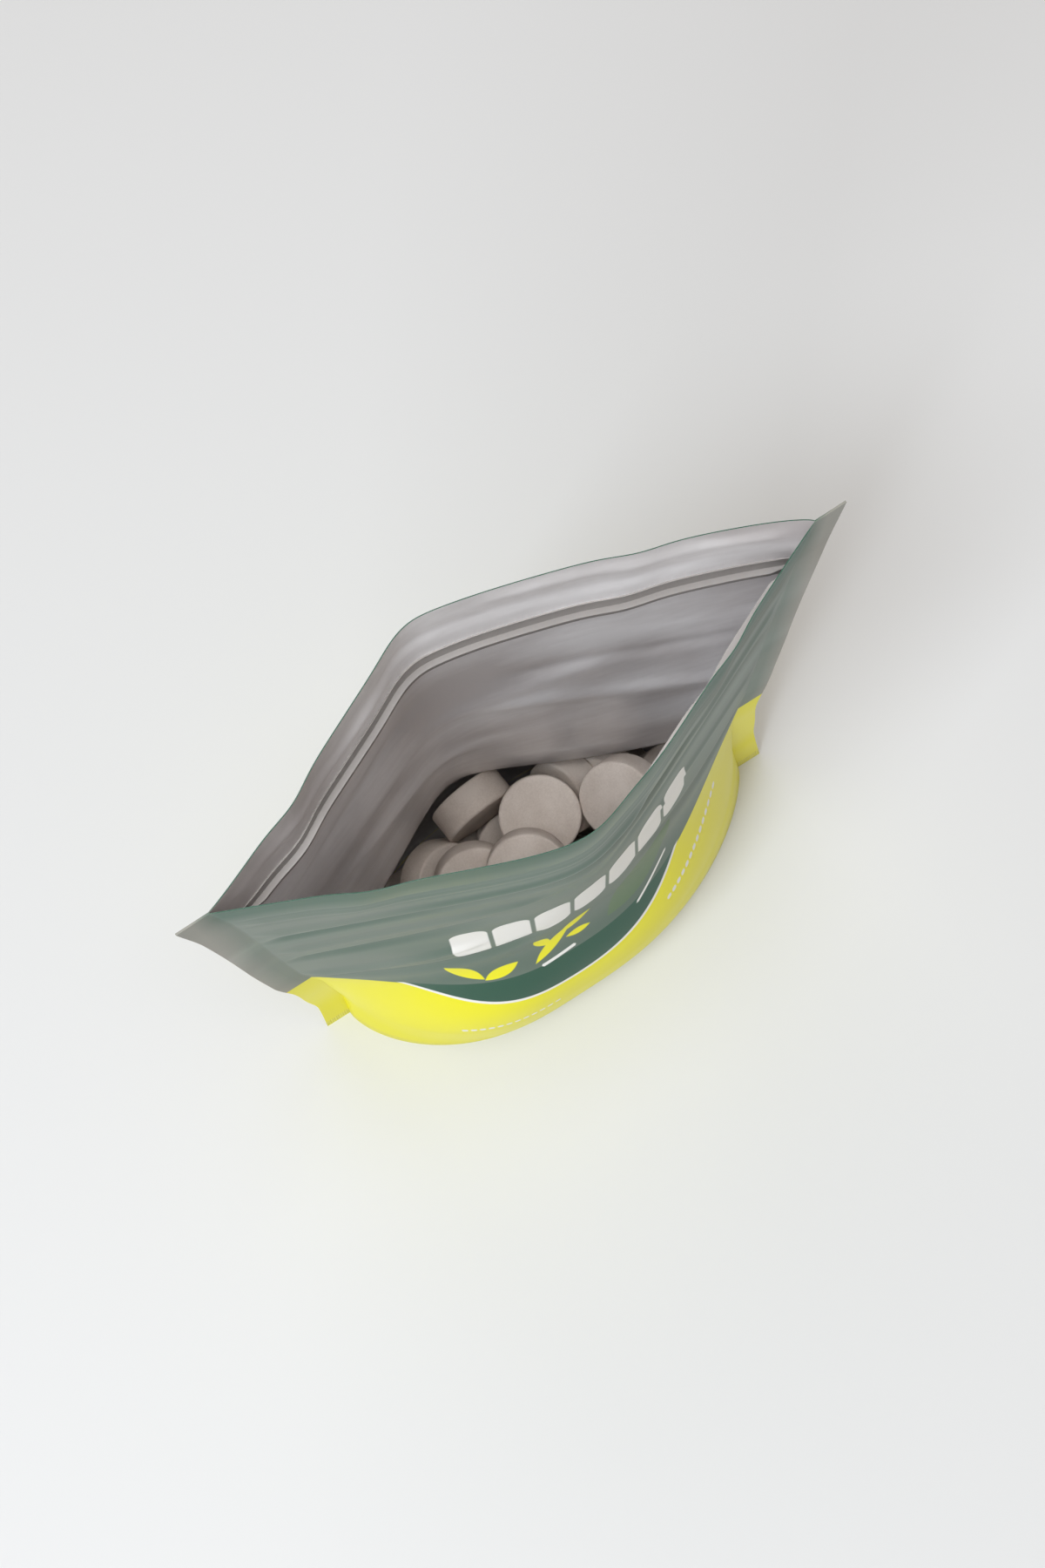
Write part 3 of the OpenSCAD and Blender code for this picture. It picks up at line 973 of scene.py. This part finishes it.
@dataclass(frozen=True)
class Tablets:
    """The pressed tablets, each where the frame's tablet of the same name lies."""

    diameter: float = 20.0
    height: float = 8.0
    bevel: float = 0.7
    facets: int = 72

    def pattern(self) -> bpy.types.Object:
        """Model one tablet, with its middle at the origin and its axis upright.

        Returns:
            The tablet.
        """
        deselect_all()
        bpy.ops.mesh.primitive_cylinder_add(vertices=self.facets, radius=self.diameter / 2 * MM,
                                            depth=self.height * MM)
        piece = bpy.context.object
        apply_modifier(piece, "BEVEL", width=self.bevel * MM, segments=3, limit_method="ANGLE",
                       angle_limit=math.radians(60), profile=0.45)
        bpy.ops.object.shade_smooth_by_angle(angle=math.radians(30))
        return piece

    def place(self, node: bpy.types.Object) -> Matrix:
        """Find where a solid tablet lies and which way its axis points.

        Args:
            node: The frame's tablet.

        Returns:
            The matrix that takes the pattern there.
        """
        mesh = node.data
        centre = sum((Vector(v.co) for v in mesh.vertices), Vector()) / len(mesh.vertices)
        spread = np.zeros((3, 3))
        for face in mesh.polygons:
            spread += face.area * np.outer(face.normal, face.normal)
        axis = Vector(np.linalg.eigh(spread)[1][:, 2])
        turn = Vector((0, 0, 1)).rotation_difference(axis).to_matrix()
        return Matrix.Translation(centre) @ turn.to_4x4()

    def build(self, nodes: dict[str, bpy.types.Object],
              powder: bpy.types.Material) -> list[bpy.types.Object]:
        """Copy the pattern to each solid tablet's place.

        Args:
            nodes: The frame's solids by name.
            powder: The tablets' material.

        Returns:
            The tablets.
        """
        pattern = self.pattern()
        pieces = []
        for name in sorted(n for n in nodes if n.startswith("tablet_")):
            mesh = pattern.data.copy()
            mesh.transform(self.place(nodes[name]))
            piece = bpy.data.objects.new(f"cleaning_{name}", mesh)
            bpy.context.collection.objects.link(piece)
            mesh.materials.append(powder)
            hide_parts(name)
            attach(piece, "root")
            pieces.append(piece)
        bpy.data.objects.remove(pattern)
        return pieces


@dataclass(frozen=True)
class Softbox:
    """A square lamp: its place and the length of its sides in metres, and its power in watts."""

    name: str
    place: tuple[float, float, float]
    size: float
    power: float
    tint: str = "#ffffff"

    def hang(self, aim: tuple[float, float, float]) -> None:
        """Hang the lamp.

        Args:
            aim: The point that it shines at, in metres.
        """
        data = bpy.data.lights.new(self.name, "AREA")
        data.size = self.size
        data.energy = self.power
        data.color = linear(self.tint)[:3]
        lamp = bpy.data.objects.new(self.name, data)
        lamp.location = self.place
        to_aim = Vector(aim) - Vector(self.place)
        lamp.rotation_euler = to_aim.to_track_quat("-Z", "Y").to_euler()
        bpy.context.collection.objects.link(lamp)


@dataclass(frozen=True)
class Studio:
    """Camera, lamps and the pale floor of a tabletop product picture."""

    place: tuple[float, float, float] = (-0.0403, -0.1042, 0.5710)
    azimuth: float = -21.32
    elevation: float = 76.10
    roll: float = 11.31
    lens: float = 50.0
    floor_colour: str = "#d6d6d6"
    backdrop: str = "#dedede"
    pale_from: float = 0.45
    pale_at: float = 1.1
    fill_colour: str = "#f5e5d5"
    fill_strength: float = 0.28
    aim: tuple[float, float, float] = (0.0, 0.0, 0.08)
    lamps: tuple[Softbox, ...] = (
        Softbox("key", (-0.64, -0.27, 1.34), 0.42, 12.5, "#eef7ff"),
        Softbox("top", (0.0, -0.09, 1.5), 0.6, 8.5),
        Softbox("side", (-0.72, -0.6, 0.62), 0.4, 3.2, "#f4faff"),
        Softbox("fill", (0.2, 1.0, 1.2), 0.8, 2.2))

    def camera(self) -> None:
        """Set the camera looking down on the open mouth."""
        a, e, r = (math.radians(v) for v in (self.azimuth, self.elevation, self.roll))
        back = Vector((math.sin(a) * math.cos(e), -math.cos(a) * math.cos(e), math.sin(e)))
        right = (-back).cross(Vector((0, 0, 1))).normalized()
        down = (-back).cross(right)
        across = math.cos(r) * right + math.sin(r) * down
        below = -math.sin(r) * right + math.cos(r) * down
        data = bpy.data.cameras.new("camera")
        data.lens = self.lens
        data.clip_start = 0.01
        camera = bpy.data.objects.new("camera", data)
        turn = Matrix((across, -below, back)).transposed()
        camera.matrix_world = Matrix.Translation(self.place) @ turn.to_4x4()
        bpy.context.collection.objects.link(camera)
        bpy.context.scene.camera = camera

    def floor(self) -> None:
        """Lay the pale floor on which the bag stands."""
        deselect_all()
        bpy.ops.mesh.primitive_plane_add(size=6.0)
        floor = bpy.context.object
        floor.name = "floor"
        material, tree, shader = new_material("pale_floor")
        shader.inputs["Base Color"].default_value = linear(self.floor_colour)
        shader.inputs["Roughness"].default_value = 0.9
        shader.inputs["Specular IOR Level"].default_value = 0.0
        # Far from the bag, beyond the lamps' reach, the floor shows the backdrop's tone.
        place = add_node(tree, "ShaderNodeTexCoord").outputs["Object"]
        away = add_node(tree, "ShaderNodeVectorMath", {"operation": "LENGTH"}, in0=place)
        far = add_node(tree, "ShaderNodeMapRange", {"interpolation_type": "SMOOTHSTEP"},
                       Value=away.outputs["Value"], in1=self.pale_from, in2=self.pale_at,
                       in3=0.0, in4=1.0)
        seen = add_node(tree, "ShaderNodeMath", {"operation": "MULTIPLY"},
                        in0=far.outputs["Result"], in1=seen_directly(tree))
        pale = add_node(tree, "ShaderNodeEmission", Color=linear(self.backdrop), Strength=1.0)
        mixed = add_node(tree, "ShaderNodeMixShader", in0=seen.outputs[0],
                         in1=shader.outputs["BSDF"], in2=pale.outputs[0])
        tree.links.new(mixed.outputs[0], tree.nodes["Material Output"].inputs["Surface"])
        floor.data.materials.append(material)

    def build(self) -> None:
        """Set up the whole studio."""
        self.camera()
        self.floor()
        for lamp in self.lamps:
            lamp.hang(self.aim)
        world = bpy.data.worlds.new("world")
        world.use_nodes = True
        tree = world.node_tree
        fill = tree.nodes["Background"]
        fill.inputs["Color"].default_value = linear(self.fill_colour)
        fill.inputs["Strength"].default_value = self.fill_strength
        backdrop = add_node(tree, "ShaderNodeBackground", Color=linear(self.backdrop), Strength=1.0)
        seen = add_node(tree, "ShaderNodeMixShader", in0=seen_directly(tree),
                        in1=fill.outputs[0], in2=backdrop.outputs[0])
        tree.links.new(seen.outputs[0], tree.nodes["World Output"].inputs["Surface"])
        bpy.context.scene.world = world
        bpy.context.scene.view_settings.view_transform = "Standard"


# Sections of the zip's halves: height over the tape's middle and distance off the film.
RIDGE_PROFILE = ((-4.0, 0.0), (4.0, 0.0), (4.0, 0.3), (0.6, 0.3), (0.6, 1.6), (-0.6, 1.6),
                 (-0.6, 0.3), (-4.0, 0.3))
GROOVE_PROFILE = ((-4.0, 0.0), (4.0, 0.0), (4.0, 0.3), (1.55, 0.3), (1.55, 1.6), (0.75, 1.6),
                  (0.75, 0.3), (-0.75, 0.3), (-0.75, 1.6), (-1.55, 1.6), (-1.55, 0.3),
                  (-4.0, 0.3))

# Folds of the front: the zip's three lines, long soft creases above the heap, the crease that
# runs in from each side seal over it, and waves of the torn edge.
FRONT_FOLDS = (
    Fold((-68, 168), (68, 168), 0.35, 1.3),
    Fold((-68, 163.5), (68, 163.5), -0.25, 1.2),
    Fold((-68, 172.5), (68, 172.5), -0.25, 1.2),
    Fold((-66, 150), (10, 158), 0.9, 2.2),
    Fold((-66, 136), (28, 148), -1.0, 2.8),
    Fold((-66, 118), (-14, 127), 0.9, 2.2),
    Fold((0, 140), (60, 152), 0.8, 2.4),
    Fold((-66, 101), (-24, 113), -0.9, 2.4),
    Fold((18, 122), (62, 130), -0.55, 2.8),
    Fold((26, 108), (64, 100), 0.5, 2.2),
    Fold((-68, 69), (-18, 86), -1.2, 2.4),
    Fold((-66, 77), (-30, 93), 0.9, 2.0),
    Fold((24, 88), (66, 73), -0.8, 2.6),
    Fold((-44, 176), (-40, 196), 0.7, 6.0),
    Fold((8, 178), (10, 196), -0.6, 7.0),
    Fold((40, 172), (44, 196), 0.6, 5.0),
)
BACK_FOLDS = (
    Fold((-66, 168), (66, 168), 0.3, 1.3),
    Fold((-10, 181), (46, 178), 0.6, 2.4),
    Fold((14, 186), (60, 184), -0.6, 2.2),
    Fold((-60, 182), (-24, 178), -0.5, 2.4),
    Fold((-52, 112), (-8, 97), -0.7, 4.0),
    Fold((12, 122), (58, 101), -0.9, 4.0),
    Fold((20, 140), (62, 128), 0.7, 3.5),
    Fold((-58, 140), (-20, 150), 0.6, 3.5),
    Fold((-20, 128), (24, 134), -0.5, 4.0),
    Fold((-50, 168), (-46, 196), -0.9, 6.0),
    Fold((-12, 172), (-8, 196), 0.8, 7.0),
    Fold((34, 172), (38, 196), -0.7, 6.0),
)


def main() -> None:
    """Build the pieces in order, dress them and set up the picture."""
    logging.basicConfig(level=logging.INFO, format="%(name)s: %(message)s")
    shape = BagShape()
    inside = AluminisedFilm().make()
    front = FilmPanel(shape, Side.FRONT, "front_panel", FRONT_FOLDS)
    back = FilmPanel(shape, Side.BACK, "back_panel", BACK_FOLDS)
    printed = PrintedFilm()
    log.info("panel %s", front.build(printed.make(True, "printed_film_front"), inside).name)
    log.info("panel %s", back.build(printed.make(False, "printed_film_back"), inside).name)
    log.info("gusset %s", Gusset(shape).build(printed.make(False, "lime_film"), inside).name)
    tape = ZipTape().make()
    ridge = ZipStrip(back, "zip_ridge_strip", RIDGE_PROFILE).build(tape)
    groove = ZipStrip(front, "zip_groove_strip", GROOVE_PROFILE).build(tape)
    log.info("zip %s and %s", ridge.name, groove.name)
    log.info("%d tablets", len(Tablets().build(frame["nodes"], PressedTablet().make())))
    Studio().build()


if __name__ == "__main__":
    main()
